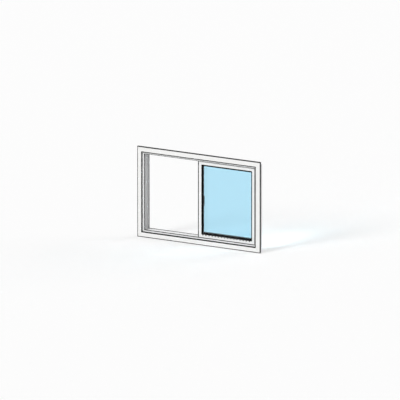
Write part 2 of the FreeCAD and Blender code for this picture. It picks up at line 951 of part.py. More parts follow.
# Checks and export

doc.recompute()
for item in doc.Objects:
    if "Invalid" in item.State or "Error" in item.State:
        raise ValueError(f"{item.Label} failed to compute: {item.State}")

os.makedirs("parts", exist_ok=True)
for piece in SUB_PARTS:
    shape = piece.Shape
    if shape.isNull() or not shape.isValid() or not shape.Solids:
        raise ValueError(f"{piece.Label} has no valid solid")
    shape.exportStep(f"parts/{piece.Label}.step")
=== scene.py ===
import math

import bpy
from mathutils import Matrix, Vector


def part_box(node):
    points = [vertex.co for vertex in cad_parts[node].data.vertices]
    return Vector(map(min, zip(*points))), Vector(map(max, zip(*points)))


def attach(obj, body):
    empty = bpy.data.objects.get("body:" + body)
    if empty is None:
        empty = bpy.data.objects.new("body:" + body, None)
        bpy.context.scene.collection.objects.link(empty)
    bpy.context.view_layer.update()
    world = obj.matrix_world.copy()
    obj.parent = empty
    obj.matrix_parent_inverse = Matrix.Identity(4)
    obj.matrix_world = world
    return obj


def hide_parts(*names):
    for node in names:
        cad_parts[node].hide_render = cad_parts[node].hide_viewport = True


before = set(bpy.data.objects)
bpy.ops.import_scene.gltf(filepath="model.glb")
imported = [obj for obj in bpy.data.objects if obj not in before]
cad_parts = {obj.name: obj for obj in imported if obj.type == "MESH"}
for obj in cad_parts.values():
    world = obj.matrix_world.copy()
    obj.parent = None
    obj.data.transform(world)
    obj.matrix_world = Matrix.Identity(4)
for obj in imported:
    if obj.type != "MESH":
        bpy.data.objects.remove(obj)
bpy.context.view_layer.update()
bpy.ops.object.select_all(action="DESELECT")


# Studio: a pale matt floor out to the horizon, a soft sun from the upper left in front, a weaker one from
# behind, and an even sky. Seen straight, in a reflection or through glass, floor and sky are nearly
# white, and neither throws more light on the window for it.


def calc(material, operation, *terms):
    """One step of arithmetic on a material's sockets and plain numbers."""
    node = material.node_tree.nodes.new("ShaderNodeMath")
    node.operation = operation
    for slot, term in enumerate(terms):
        if isinstance(term, (int, float)):
            node.inputs[slot].default_value = term
        else:
            material.node_tree.links.new(term, node.inputs[slot])
    return node.outputs[0]


def seen_not_lit(holder):
    """1 for rays that show something to the camera, and 0 for the rays that light it."""
    rays = holder.node_tree.nodes.new("ShaderNodeLightPath").outputs
    mirrored = calc(holder, "MAXIMUM", rays["Is Glossy Ray"], rays["Is Transmission Ray"])
    shown = calc(holder, "MAXIMUM", rays["Is Camera Ray"], mirrored)
    return calc(holder, "MULTIPLY", shown, calc(holder, "LESS_THAN", rays["Diffuse Depth"], 0.5))


floor_reach = 800
floor_depth = 0.0015
floor_grey = 0.7
floor_glow = 0.33
lamp_height = 10
sky_level = 0.42
sky_seen = 0.98

bpy.ops.mesh.primitive_plane_add(size=floor_reach, location=(0, 0, -floor_depth))
floor = bpy.context.object
floor.name = "studio_floor"
bpy.ops.object.transform_apply(location=True, rotation=True, scale=True)

floor_paint = bpy.data.materials.new("studio_floor_paint")
floor_paint.use_nodes = True
floor_shader = floor_paint.node_tree.nodes["Principled BSDF"]
floor_shader.inputs["Base Color"].default_value = (floor_grey, floor_grey, floor_grey, 1)
floor_shader.inputs["Roughness"].default_value = 0.9
floor_shader.inputs["Emission Color"].default_value = (1, 1, 1, 1)
floor_lift = calc(floor_paint, "MULTIPLY", seen_not_lit(floor_paint), floor_glow)
floor_paint.node_tree.links.new(floor_lift, floor_shader.inputs["Emission Strength"])
floor.data.materials.append(floor_paint)

for lamp_name, towards, energy, softness in (
    ("key_sun", (-0.26, -0.83, 0.5), 2.05, 20),
    ("fill_sun", (0.5, 0.75, 0.42), 1.0, 40),
):
    bpy.ops.object.light_add(type="SUN", location=(0, 0, lamp_height))
    lamp = bpy.context.object
    lamp.name = lamp_name
    lamp.data.energy = energy
    lamp.data.angle = math.radians(softness)
    lamp.data.cycles.use_multiple_importance_sampling = False
    lamp.rotation_euler = Vector(towards).to_track_quat("Z", "Y").to_euler()

sky = bpy.data.worlds.new("studio_sky")
sky.use_nodes = True
sky_shader = sky.node_tree.nodes["Background"]
sky_shader.inputs["Color"].default_value = (1, 1, 1, 1)
sky_lift = calc(sky, "MULTIPLY_ADD", seen_not_lit(sky), sky_seen - sky_level, sky_level)
sky.node_tree.links.new(sky_lift, sky_shader.inputs["Strength"])
bpy.context.scene.world = sky
bpy.context.scene.view_settings.view_transform = "Standard"


# Camera: a very long lens, because the picture to match is a parallel projection. It stands 32 degrees
# to the right of the window's face and 12.66 degrees above it, and one picture width spans 5.806 m.
view_turn = math.radians(32)
view_lift = math.radians(12.66)
picture_span = 5.806
lens = 1200
sensor = 36
view_right = Vector((math.cos(view_turn), math.sin(view_turn), 0))
view_back = Vector(
    (
        math.sin(view_turn) * math.cos(view_lift),
        -math.cos(view_turn) * math.cos(view_lift),
        math.sin(view_lift),
    )
)
view_up = view_back.cross(view_right)
view_centre = 0.0084 * view_right + 0.6465 * view_up
bpy.ops.object.camera_add(location=view_centre + view_back * picture_span * lens / sensor)
camera = bpy.context.object
camera.rotation_euler = view_back.to_track_quat("Z", "Y").to_euler()
camera.data.lens = lens
camera.data.sensor_width = sensor
camera.data.clip_end = 1000
bpy.context.scene.camera = camera


# Casing: four flat softwood boards, mitred at the corners, nailed on in two rows and painted white by
# brush. The nail heads are sunk, filled and painted over. Painted shade lies near black on the outer
# edges, laps onto the faces and follows the left and lower inner edges. Its nodes only take paint here.

board_middle = 1.0125
board_across = 0.6375
window_middle = 0.675
nail_rows_apart = 0.044
nail_spacing = 0.35
nail_radius = 0.0035
mitre_hairline = 0.0004
edge_fade = 0.0003
casing_half = 1.05
casing_top = 1.35
edge_lap_left = 0.011
edge_lap_right = 0.0065
edge_lap_foot = 0.011
edge_lap_head = 0.013
opening_half = 0.975
opening_foot = 0.075
opening_head = 1.275
inner_lap_left = 0.008
inner_lap_foot = 0.006
edge_shade_back = -0.0243
filler_tone = (0.8, 0.795, 0.78)
joint_tone = (0.32, 0.31, 0.29)
# Near black of the painted shade on the casing's edges.
edge_shade_tone = (0.012, 0.012, 0.013)


def new_finish(name, **constants):
    """A material and its shader, with the shader's constant values set, ready for its finish."""
    material = bpy.data.materials.new(name)
    material.use_nodes = True
    shader = material.node_tree.nodes["Principled BSDF"]
    for socket, value in constants.items():
        shader.inputs[socket.replace("_", " ")].default_value = value
    return material, shader


def place_in(material):
    """The three sockets of a point's own place on the window, in metres."""
    nodes = material.node_tree.nodes
    split = nodes.new("ShaderNodeSeparateXYZ")
    spot = nodes.new("ShaderNodeTexCoord").outputs["Object"]
    material.node_tree.links.new(spot, split.inputs[0])
    return split.outputs


def grain(material, size, stretch=(1, 1, 1), detail=3):
    """Noise in grains of one size, in metres, drawn out along an axis by its stretch."""
    nodes = material.node_tree.nodes
    links = material.node_tree.links
    scaling = nodes.new("ShaderNodeMapping")
    scaling.inputs["Scale"].default_value = [1 / (size * longer) for longer in stretch]
    links.new(nodes.new("ShaderNodeTexCoord").outputs["Object"], scaling.inputs["Vector"])
    noise = nodes.new("ShaderNodeTexNoise")
    noise.inputs["Scale"].default_value = 1
    noise.inputs["Detail"].default_value = detail
    links.new(scaling.outputs["Vector"], noise.inputs["Vector"])
    return noise.outputs["Fac"]


def follow(material, driver, start, end, low, high):
    """A value that goes from low to high while its driver goes from start to end."""
    node = material.node_tree.nodes.new("ShaderNodeMapRange")
    for socket, value in zip(("From Min", "From Max", "To Min", "To Max"), (start, end, low, high)):
        node.inputs[socket].default_value = value
    material.node_tree.links.new(driver, node.inputs["Value"])
    return node.outputs["Result"]


def shade_between(material, driver, dark, light, start=0.3, end=0.7):
    """A colour that goes from dark to light while its driver goes from start to end."""
    ramp = material.node_tree.nodes.new("ShaderNodeValToRGB")
    ramp.color_ramp.elements[0].position = start
    ramp.color_ramp.elements[0].color = (*dark, 1)
    ramp.color_ramp.elements[1].position = end
    ramp.color_ramp.elements[1].color = (*light, 1)
    material.node_tree.links.new(driver, ramp.inputs["Fac"])
    return ramp.outputs["Color"]


def blend_colour(material, share, under, over):
    """One colour laid over another by a share."""
    node = material.node_tree.nodes.new("ShaderNodeMix")
    node.data_type = "RGBA"
    links = material.node_tree.links
    links.new(share, node.inputs["Factor"])
    for socket, colour in ((node.inputs[6], under), (node.inputs[7], over)):
        if isinstance(colour, tuple):
            socket.default_value = (*colour, 1)
        else:
            links.new(colour, socket)
    return node.outputs[2]


def raise_by(material, shader, height, distance):
    """Bumps a surface by a height in metres, on top of the bumps that it has."""
    node = material.node_tree.nodes.new("ShaderNodeBump")
    node.inputs["Distance"].default_value = distance
    node.inputs["Strength"].default_value = 1
    links = material.node_tree.links
    if shader.inputs["Normal"].is_linked:
        links.new(shader.inputs["Normal"].links[0].from_socket, node.inputs["Normal"])
    links.new(height, node.inputs["Height"])
    links.new(node.outputs["Normal"], shader.inputs["Normal"])


def mitre_line(material, width):
    """1 on the four diagonal joints that run in from the corners, and 0 off them."""
    right, _, up = place_in(material)
    side = calc(material, "ABSOLUTE", right)
    over_upper = calc(material, "SUBTRACT", calc(material, "ADD", side, casing_top - casing_half), up)
    over_lower = calc(material, "SUBTRACT", calc(material, "ADD", side, up), casing_half)
    to_upper = calc(material, "ABSOLUTE", over_upper)
    to_lower = calc(material, "ABSOLUTE", over_lower)
    nearest = calc(material, "MINIMUM", to_upper, to_lower)
    return follow(material, nearest, width, width * 2, 1, 0)


def depth_inside(material, left, right, foot, head):
    """How far inside a rectangle seen from the front a point lies, in metres. It is under 0 outside it."""
    across, _, up = place_in(material)
    from_left = calc(material, "SUBTRACT", across, left)
    from_right = calc(material, "SUBTRACT", right, across)
    from_foot = calc(material, "SUBTRACT", up, foot)
    from_head = calc(material, "SUBTRACT", head, up)
    from_side = calc(material, "MINIMUM", from_left, from_right)
    return calc(material, "MINIMUM", from_side, calc(material, "MINIMUM", from_foot, from_head))


def painted_edge_shade(material):
    """1 where painted shade lies on the casing's outer edges, laps onto its boards and follows the left and
    lower inner edges, and 0 elsewhere.
    """
    bare = depth_inside(
        material,
        edge_lap_left - casing_half,
        casing_half - edge_lap_right,
        edge_lap_foot,
        casing_top - edge_lap_head,
    )
    outside = follow(material, bare, 0, edge_fade, 1, 0)
    opening = depth_inside(
        material, -opening_half - inner_lap_left, opening_half, opening_foot - inner_lap_foot, opening_head
    )
    on_front = follow(material, place_in(material)[1], edge_shade_back, edge_shade_back + edge_fade, 1, 0)
    inside = calc(material, "MULTIPLY", follow(material, opening, 0, edge_fade, 0, 1), on_front)
    return calc(material, "MAXIMUM", outside, inside)


def casing_paint(name, upright):
    """White satin paint over softwood: brush strokes along the board, faint grain and filled nails."""
    paint, shader = new_finish(name, Specular_IOR_Level=0.4)
    links = paint.node_tree.links
    stretch = (1, 1, 40) if upright else (40, 1, 1)
    strokes = grain(paint, 0.0016, stretch, 4)
    wood = grain(paint, 0.009, stretch, 2)
    patches = grain(paint, 0.16)
    body = shade_between(paint, patches, (0.825, 0.825, 0.812), (0.865, 0.865, 0.857))

    right, _, up = place_in(paint)
    if upright:
        along = up
        across = calc(paint, "SUBTRACT", calc(paint, "ABSOLUTE", right), board_middle)
    else:
        along = right
        from_middle = calc(paint, "ABSOLUTE", calc(paint, "SUBTRACT", up, window_middle))
        across = calc(paint, "SUBTRACT", from_middle, board_across)
    off_row = calc(paint, "SUBTRACT", calc(paint, "ABSOLUTE", across), nail_rows_apart / 2)
    off_nail = calc(paint, "PINGPONG", calc(paint, "ADD", along, nail_spacing / 2), nail_spacing / 2)
    squares = calc(paint, "ADD", calc(paint, "POWER", off_row, 2), calc(paint, "POWER", off_nail, 2))
    filled = follow(paint, calc(paint, "SQRT", squares), nail_radius * 0.8, nail_radius, 1, 0)
    joint = mitre_line(paint, mitre_hairline)

    body = blend_colour(paint, calc(paint, "MULTIPLY", filled, 0.5), body, filler_tone)
    body = blend_colour(paint, joint, body, joint_tone)
    # Painted shade: near black laid over the paint on the casing's edges, a little rougher and raised by
    # bump.
    edge_shade = painted_edge_shade(paint)
    links.new(blend_colour(paint, edge_shade, body, edge_shade_tone), shader.inputs["Base Color"])
    satin = follow(paint, strokes, 0.3, 0.7, 0.34, 0.52)
    links.new(calc(paint, "ADD", satin, calc(paint, "MULTIPLY", edge_shade, 0.2)), shader.inputs["Roughness"])
    raise_by(paint, shader, wood, 0.0003)
    raise_by(paint, shader, strokes, 0.00016)
    raise_by(paint, shader, edge_shade, 0.0006)
    raise_by(paint, shader, calc(paint, "MAXIMUM", joint, calc(paint, "MULTIPLY", filled, 0.4)), -0.0003)
    return paint


def dress(finish, *names):
    """Gives nodes of the frame a finish in all their slots."""
    for name in names:
        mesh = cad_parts[name].data
        if not mesh.materials:
            mesh.materials.append(finish)
        for slot in range(len(mesh.materials)):
            mesh.materials[slot] = finish


dress(casing_paint("casing_paint_upright", True), "casing_left", "casing_right")
dress(casing_paint("casing_paint_level", False), "casing_head", "casing_sill")


# Casing edging: a black rubber drip lip glued round the inner edges of the casing boards, just behind
# their face. Rain leaves it clear of the joint with the frame.

casing_edging_wide = 0.011
casing_edging_round = 0.003
casing_edging_left_slim = 0.007
casing_edging_right_wider = 0.005
casing_edging_front = -0.025
casing_edging_back = -0.017
seal_rib_step = 0.0028
seal_rib_deep = 0.4


def make_active(piece):
    """Selects one piece alone."""
    bpy.ops.object.select_all(action="DESELECT")
    piece.select_set(True)
    bpy.context.view_layer.objects.active = piece


def edit_where(piece, kind, wanted):
    """Opens a piece in edit mode with those VERTs, EDGEs or FACEs selected that pass a test."""
    make_active(piece)
    bpy.ops.object.mode_set(mode="EDIT")
    bpy.ops.mesh.select_mode(type=kind)
    bpy.ops.mesh.select_all(action="DESELECT")
    bpy.ops.object.mode_set(mode="OBJECT")
    mesh = piece.data
    for part in {"VERT": mesh.vertices, "EDGE": mesh.edges, "FACE": mesh.polygons}[kind]:
        part.select = wanted(part)
    bpy.ops.object.mode_set(mode="EDIT")


def rectangle_ring(name, left, right, foot, head, width, near, far, inner_width=0):
    """A ring round a rectangle: a plane, inset by the ring's one or two widths and drawn from near to far."""
    bpy.ops.object.select_all(action="DESELECT")
    middle = ((left + right) / 2, near, (foot + head) / 2)
    bpy.ops.mesh.primitive_plane_add(size=1, location=middle, rotation=(math.radians(90), 0, 0))
    ring = bpy.context.object
    ring.name = name
    ring.scale = (right - left, head - foot, 1)
    bpy.ops.object.transform_apply(location=True, rotation=True, scale=True)
    bpy.ops.object.mode_set(mode="EDIT")
    bpy.ops.mesh.select_all(action="SELECT")
    bpy.ops.mesh.inset(thickness=width, depth=0)
    if inner_width:
        bpy.ops.mesh.inset(thickness=inner_width, depth=0)
    bpy.ops.mesh.delete(type="ONLY_FACE")
    bpy.ops.mesh.select_all(action="SELECT")
    bpy.ops.mesh.extrude_region_move(TRANSFORM_OT_translate={"value": (0, far - near, 0)})
    bpy.ops.mesh.select_all(action="SELECT")
    bpy.ops.mesh.normals_make_consistent(inside=False)
    bpy.ops.object.mode_set(mode="OBJECT")
    return ring


def bevel_where(piece, wanted, offset, segments):
    """Bevels the edges of a piece whose both ends pass a test on their place."""
    edit_where(piece, "EDGE", lambda edge: all(wanted(piece.data.vertices[end].co) for end in edge.vertices))
    bpy.ops.mesh.bevel(offset=offset, segments=segments, affect="EDGES")
    bpy.ops.object.mode_set(mode="OBJECT")


def shift_where(piece, wanted, by):
    """Moves the points of a piece that pass a test on their place."""
    edit_where(piece, "VERT", lambda point: wanted(point.co))
    bpy.ops.transform.translate(value=by)
    bpy.ops.object.mode_set(mode="OBJECT")


def finish_piece(piece, finish, slot, *replaced):
    """Smooths a piece's round faces, gives it its finish and fixes it to the window."""
    smooth_up_to = math.radians(35)
    make_active(piece)
    bpy.ops.object.transform_apply(location=True, rotation=True, scale=True)
    bpy.ops.object.shade_smooth_by_angle(angle=smooth_up_to)
    piece.data.materials.clear()
    piece.data.materials.append(finish)
    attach(piece, "root")
    if replaced:
        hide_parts(*replaced)


def near_to(value, target, slack=0.0002):
    """Whether a value lies within a slack of its target."""
    return abs(value - target) < slack


seal_rubber, shader = new_finish("seal_rubber", Specular_IOR_Level=0.05)
links = seal_rubber.node_tree.links
bloom = grain(seal_rubber, 0.05)
tone = shade_between(seal_rubber, bloom, (0.003, 0.003, 0.003), (0.007, 0.007, 0.0075))
links.new(tone, shader.inputs["Base Color"])
skin = grain(seal_rubber, 0.0009)
links.new(follow(seal_rubber, skin, 0.3, 0.7, 0.52, 0.72), shader.inputs["Roughness"])
raise_by(seal_rubber, shader, skin, 0.00008)
ribs = calc(seal_rubber, "PINGPONG", place_in(seal_rubber)[1], seal_rib_step / 2)
raise_by(seal_rubber, shader, ribs, seal_rib_deep)

casing_edging = rectangle_ring(
    "casing_edging",
    -opening_half,
    opening_half,
    opening_foot,
    opening_head,
    casing_edging_wide,
    casing_edging_front,
    casing_edging_back,
)
for free_edge, by in (
    (casing_edging_wide - opening_half, -casing_edging_left_slim),
    (opening_half - casing_edging_wide, -casing_edging_right_wider),
):
    shift_where(casing_edging, lambda spot: near_to(spot.x, free_edge), (by, 0, 0))


def round_free_corner(ring, half, foot, head, level, radius):
    """Rounds the edge of a ring that faces the opening at one level of its depth."""
    slack = 0.0003

    def on_free_corner(spot):
        return near_to(spot.y, level) and abs(spot.x) < half + slack and foot - slack < spot.z < head + slack

    bevel_where(ring, on_free_corner, radius, 4)


round_free_corner(
    casing_edging,
    opening_half - casing_edging_wide + casing_edging_left_slim,
    opening_foot + casing_edging_wide,
    opening_head - casing_edging_wide,
    casing_edging_front,
    casing_edging_round,
)
finish_piece(casing_edging, seal_rubber, "black_rubber")


# Frame: four aluminium extrusions with two channels each, mitred, crimped and powder coated satin white.
# Fine orange peel shows in the coat, and dust lies on the floors of the sill's channels.

dust_reach = 0.0885
dust_fade = 0.002
dust_tone = (0.42, 0.39, 0.35)
crimp_hairline = 0.00025
crimp_tone = (0.2, 0.2, 0.2)


def powder_coat(name, joints):
    """White satin powder coat: faint orange peel, and a dark hairline at each mitre where it has them."""
    coat, shader = new_finish(name, Specular_IOR_Level=0.45)
    links = coat.node_tree.links
    peel = grain(coat, 0.0022, detail=2)
    patches = grain(coat, 0.3)
    body = shade_between(coat, patches, (0.845, 0.85, 0.85), (0.872, 0.877, 0.88))
    roughness = follow(coat, patches, 0.3, 0.7, 0.3, 0.38)
    if joints:
        facing = coat.node_tree.nodes.new("ShaderNodeSeparateXYZ")
        links.new(coat.node_tree.nodes.new("ShaderNodeNewGeometry").outputs["Normal"], facing.inputs[0])
        level = calc(coat, "GREATER_THAN", facing.outputs[2], 0.7)
        low = follow(coat, place_in(coat)[2], dust_reach, dust_reach + dust_fade, 1, 0)
        specks = follow(coat, grain(coat, 0.0012, detail=5), 0.4, 0.7, 0.05, 0.35)
        dust = calc(coat, "MULTIPLY", calc(coat, "MULTIPLY", low, level), specks)
        body = blend_colour(coat, dust, body, dust_tone)
        roughness = calc(coat, "ADD", roughness, dust)
        joint = mitre_line(coat, crimp_hairline)
        body = blend_colour(coat, joint, body, crimp_tone)
        raise_by(coat, shader, joint, -0.0002)
    links.new(body, shader.inputs["Base Color"])
    links.new(roughness, shader.inputs["Roughness"])
    raise_by(coat, shader, peel, 0.00004)
    return coat


frame_coat = powder_coat("frame_coat", True)
dress(frame_coat, "frame_head", "frame_sill", "frame_left_jamb", "frame_right_jamb")


# Jamb screws: four zinc plated pan head screws with washers, through the floor of the rear channel into
# the side of the opening. Each head has a cross recess.

jamb_floor = 0.963
rear_track = 0.0985
fixing_heights = (0.3, 1.05)
frame_screw_radius = 0.0068
frame_screw_tall = 0.0036


def pan_head(name, radius, tall, washer=False):
    """A screw head that stands on the origin and points up: a disc with a rolled rim and a cross recess."""
    bpy.ops.object.select_all(action="DESELECT")
    sides = 32
    bpy.ops.mesh.primitive_cylinder_add(vertices=sides, radius=radius, depth=tall, location=(0, 0, tall / 2))
    head = bpy.context.object
    head.name = name
    bpy.ops.object.transform_apply(location=True, rotation=True, scale=True)
    bevel_where(head, lambda spot: near_to(spot.z, tall, tall / 9), tall * 0.7, 5)
    arm_long = radius * 1.05
    arm_wide = radius * 0.2
    recess = tall * 0.55
    for turn in (0, 90):
        bpy.ops.object.select_all(action="DESELECT")
        bpy.ops.mesh.primitive_cube_add(size=1, location=(0, 0, tall), rotation=(0, 0, math.radians(turn)))
        cutter = bpy.context.object
        cutter.scale = (arm_long, arm_wide, recess * 2)
        bpy.ops.object.transform_apply(location=True, rotation=True, scale=True)
        cut = head.modifiers.new("recess", "BOOLEAN")
        cut.object = cutter
        cut.operation = "DIFFERENCE"
        cut.solver = "EXACT"
        bpy.context.view_layer.objects.active = head
        bpy.ops.object.modifier_apply(modifier=cut.name)
        bpy.data.objects.remove(cutter)
    if washer:
        bpy.ops.object.select_all(action="DESELECT")
        thick = tall * 0.25
        bpy.ops.mesh.primitive_cylinder_add(
            vertices=sides, radius=radius * 1.45, depth=thick, location=(0, 0, thick / 2)
        )
        disc = bpy.context.object
        bpy.ops.object.transform_apply(location=True, rotation=True, scale=True)
        bevel_where(disc, lambda spot: near_to(spot.z, thick, thick / 9), thick * 0.4, 2)
        join_all([head, disc])
    return head


def join_all(pieces):
    """Joins pieces into the first of them."""
    bpy.ops.object.select_all(action="DESELECT")
    for piece in pieces:
        piece.select_set(True)
    bpy.context.view_layer.objects.active = pieces[0]
    if len(pieces) > 1:
        bpy.ops.object.join()
    return pieces[0]


def copies_at(pattern, places):
    """Copies of a pattern that stands up from the origin, set at each place and pointing its way."""
    made = []
    for spot, way in places:
        make_active(pattern)
        bpy.ops.object.duplicate(linked=False)
        copy = bpy.context.object
        copy.rotation_euler = Vector(way).to_track_quat("Z", "Y").to_euler()
        copy.location = spot
        bpy.ops.object.transform_apply(location=True, rotation=True, scale=True)
        made.append(copy)
    name = pattern.name
    bpy.data.objects.remove(pattern)
    group = join_all(made)
    group.name = name
    return group


zinc_plate, shader = new_finish("zinc_plate", Metallic=1.0)
links = zinc_plate.node_tree.links
spangle = grain(zinc_plate, 0.004)
tone = shade_between(zinc_plate, spangle, (0.5, 0.52, 0.54), (0.72, 0.72, 0.7))
links.new(tone, shader.inputs["Base Color"])
zinc_grain = grain(zinc_plate, 0.0012)
links.new(follow(zinc_plate, zinc_grain, 0.3, 0.7, 0.26, 0.5), shader.inputs["Roughness"])
raise_by(zinc_plate, shader, spangle, 0.00003)

jamb_screws = copies_at(
    pan_head("jamb_screws", frame_screw_radius, frame_screw_tall, washer=True),
    [
        ((side * jamb_floor, rear_track, height), (-side, 0, 0))
        for side in (-1, 1)
        for height in fixing_heights
    ],
)
finish_piece(jamb_screws, zinc_plate, "zinc_steel")


# Track rail: a bare aluminium tee on the floor of the rear channel, with draw lines along it and a crown
# that the wheels have polished. Blind rivets through its foot hold it, on one side and then the other.

rail_foot_top = 0.0885
rail_foot_middle = 0.00425
crown_from = 0.0955
crown_fade = 0.0006
rivet_radius = 0.0021
rivet_tall = 0.0011
rivet_reach = 0.88
rivet_count = 9

bare_aluminium, shader = new_finish("bare_aluminium", Metallic=1.0)
links = bare_aluminium.node_tree.links
draw_lines = grain(bare_aluminium, 0.0004, (250, 1, 1), 4)
oxide = grain(bare_aluminium, 0.02)
dull = shade_between(bare_aluminium, oxide, (0.6, 0.61, 0.62), (0.74, 0.75, 0.76))
crown_at = crown_from + crown_fade
polished = follow(bare_aluminium, place_in(bare_aluminium)[2], crown_from, crown_at, 0, 1)
links.new(blend_colour(bare_aluminium, polished, dull, (0.86, 0.87, 0.88)), shader.inputs["Base Color"])
satin = follow(bare_aluminium, draw_lines, 0.3, 0.7, 0.3, 0.46)
rubbed = calc(bare_aluminium, "SUBTRACT", satin, calc(bare_aluminium, "MULTIPLY", polished, 0.16))
links.new(rubbed, shader.inputs["Roughness"])
raise_by(bare_aluminium, shader, draw_lines, 0.00006)
dress(bare_aluminium, "track_rail")

bpy.ops.object.select_all(action="DESELECT")
bpy.ops.mesh.primitive_cylinder_add(vertices=20, radius=rivet_radius, depth=rivet_tall)
rivet = bpy.context.object
rivet.name = "rail_rivets"
rivet.location = (0, 0, rivet_tall / 2)
bpy.ops.object.transform_apply(location=True, rotation=True, scale=True)
bevel_where(rivet, lambda spot: near_to(spot.z, rivet_tall), rivet_tall * 0.85, 4)
edit_where(rivet, "FACE", lambda face: near_to(face.center.z, rivet_tall) and face.normal.z > 0.9)
bpy.ops.mesh.inset(thickness=rivet_radius * 0.25, depth=-rivet_tall * 0.4)
bpy.ops.object.mode_set(mode="OBJECT")
rivet_step = 2 * rivet_reach / (rivet_count - 1)
rail_rivets = copies_at(
    rivet,
    [
        (
            (n * rivet_step - rivet_reach, rear_track + rail_foot_middle * (-1) ** n, rail_foot_top),
            (0, 0, 1),
        )
        for n in range(rivet_count)
    ],
)
finish_piece(rail_rivets, bare_aluminium, "bare_aluminium")


# Moulded nylon: the packers and head blocks round the fixed sash, the blocks that keep the sliding sash
# from being lifted out, the blocks under the glass, the wheels and the travel stop with its screw.

stop_screw_spot = (0.9315, rear_track, 0.105)
stop_screw_radius = 0.0038
stop_screw_tall = 0.0024

black_nylon, shader = new_finish("black_nylon")
links = black_nylon.node_tree.links
pebble = grain(black_nylon, 0.0007, detail=2)
tone = shade_between(black_nylon, grain(black_nylon, 0.03), (0.014, 0.014, 0.016), (0.03, 0.03, 0.032))
links.new(tone, shader.inputs["Base Color"])
links.new(follow(black_nylon, pebble, 0.3, 0.7, 0.36, 0.55), shader.inputs["Roughness"])
raise_by(black_nylon, shader, pebble, 0.00006)
dress(
    black_nylon,
    "fixed_sash_packers",
    "fixed_sash_head_blocks",
    "anti_lift_blocks",
    "fixed_sash_setting_blocks",
    "sliding_sash_setting_blocks",
    "roller_wheels",
    "travel_stop",
)

stop_screw = copies_at(
    pan_head("stop_screw", stop_screw_radius, stop_screw_tall), [(stop_screw_spot, (0, 0, 1))]
)
finish_piece(stop_screw, zinc_plate, "zinc_steel")


# Sash bars and interlocks: aluminium extrusions in the same powder coat as the frame. The rails butt
# between the stiles, so they have no mitres.

sash_coat = powder_coat("sash_coat", False)
dress(
    sash_coat,
    "fixed_sash_meeting_stile",
    "fixed_sash_jamb_stile",
    "fixed_sash_bottom_rail",
    "fixed_sash_top_rail",
    "fixed_sash_interlock",
    "sliding_sash_closing_stile",
    "sliding_sash_meeting_stile",
    "sliding_sash_bottom_rail",
    "sliding_sash_top_rail",
    "sliding_sash_interlock",
)


# Glazing: each sash holds two panes of pale blue tinted float glass, kept apart by a dark perforated
# spacer bar and sealed round the edge. Black rubber beads clip in on both sides, and each ends in a thin
# lip that lies on the glass.

pane_tint = (0.827, 0.952, 1.0, 1)
shadow_tint = (0.965, 0.992, 1.0, 1)
unit_deep = 0.02
bead_cover = 0.016
lip_root = 0.0008
lip_thick = 0.0014
lip_play = 0.00005
spacer_hole = 0.0006
spacer_hole_step = 0.006
spacer_rows_apart = 0.007
spacer_seam = 0.0002

clear_glass, shader = new_finish(
    "clear_glass", Base_Color=pane_tint, Roughness=0.0, Transmission_Weight=1.0, IOR=1.45
)
nodes = clear_glass.node_tree.nodes
links = clear_glass.node_tree.links
raise_by(clear_glass, shader, grain(clear_glass, 0.25, detail=1), 0.00002)
lamp_rays = nodes.new("ShaderNodeLightPath")
let_through = nodes.new("ShaderNodeBsdfTransparent")
let_through.inputs["Color"].default_value = shadow_tint
choose = nodes.new("ShaderNodeMixShader")
links.new(lamp_rays.outputs["Is Shadow Ray"], choose.inputs[0])
links.new(shader.outputs[0], choose.inputs[1])
links.new(let_through.outputs[0], choose.inputs[2])
links.new(choose.outputs[0], nodes["Material Output"].inputs["Surface"])

bead_rubber, shader = new_finish("bead_rubber", Specular_IOR_Level=0.05)
links = bead_rubber.node_tree.links
tone = shade_between(bead_rubber, grain(bead_rubber, 0.08), (0.003, 0.003, 0.003), (0.007, 0.007, 0.0075))
links.new(tone, shader.inputs["Base Color"])
bead_skin = grain(bead_rubber, 0.0008)
links.new(follow(bead_rubber, bead_skin, 0.3, 0.7, 0.48, 0.68), shader.inputs["Roughness"])
raise_by(bead_rubber, shader, bead_skin, 0.00006)

sealant, shader = new_finish("edge_sealant", Roughness=0.75, Specular_IOR_Level=0.3)
links = sealant.node_tree.links
smears = grain(sealant, 0.004)
tone = shade_between(sealant, smears, (0.007, 0.007, 0.007), (0.016, 0.016, 0.016))
links.new(tone, shader.inputs["Base Color"])
raise_by(sealant, shader, smears, 0.0004)


def spacer_metal(name, middle):
    """Dark anodised aluminium with two rows of breathing holes and a dark seam between them. The holes are
    not cut but painted near black, as painted shade inside them, and pressed in by bump.
    """
    metal, shader = new_finish(name, Roughness=0.4, Metallic=0.8)
    links = metal.node_tree.links
    right, inward, up = place_in(metal)
    facing = metal.node_tree.nodes.new("ShaderNodeSeparateXYZ")
    normal = metal.node_tree.nodes.new("ShaderNodeNewGeometry").outputs["Normal"]
    links.new(normal, facing.inputs[0])
    level = calc(metal, "GREATER_THAN", calc(metal, "ABSOLUTE", facing.outputs[2]), 0.5)
    upright = calc(metal, "SUBTRACT", 1.0, level)
    along = calc(metal, "MULTIPLY_ADD", right, level, calc(metal, "MULTIPLY", up, upright))
    off_middle = calc(metal, "ABSOLUTE", calc(metal, "SUBTRACT", inward, middle))
    off_row = calc(metal, "SUBTRACT", off_middle, spacer_rows_apart / 2)
    off_hole = calc(metal, "PINGPONG", along, spacer_hole_step / 2)
    squares = calc(metal, "ADD", calc(metal, "POWER", off_row, 2), calc(metal, "POWER", off_hole, 2))
    hole_shade = follow(metal, calc(metal, "SQRT", squares), spacer_hole, spacer_hole * 1.3, 1, 0)
    seam = follow(metal, off_middle, spacer_seam, spacer_seam * 2, 1, 0)
    hole_shade_and_seam = calc(metal, "MAXIMUM", hole_shade, seam)
    body = shade_between(metal, grain(metal, 0.02), (0.035, 0.035, 0.04), (0.065, 0.065, 0.07))
    # Painted shade: the uncut holes are laid over in near black, and so is the real dark seam.
    links.new(blend_colour(metal, hole_shade_and_seam, body, (0.004, 0.004, 0.004)), shader.inputs["Base Color"])
    raise_by(metal, shader, hole_shade_and_seam, -0.0003)
    return metal


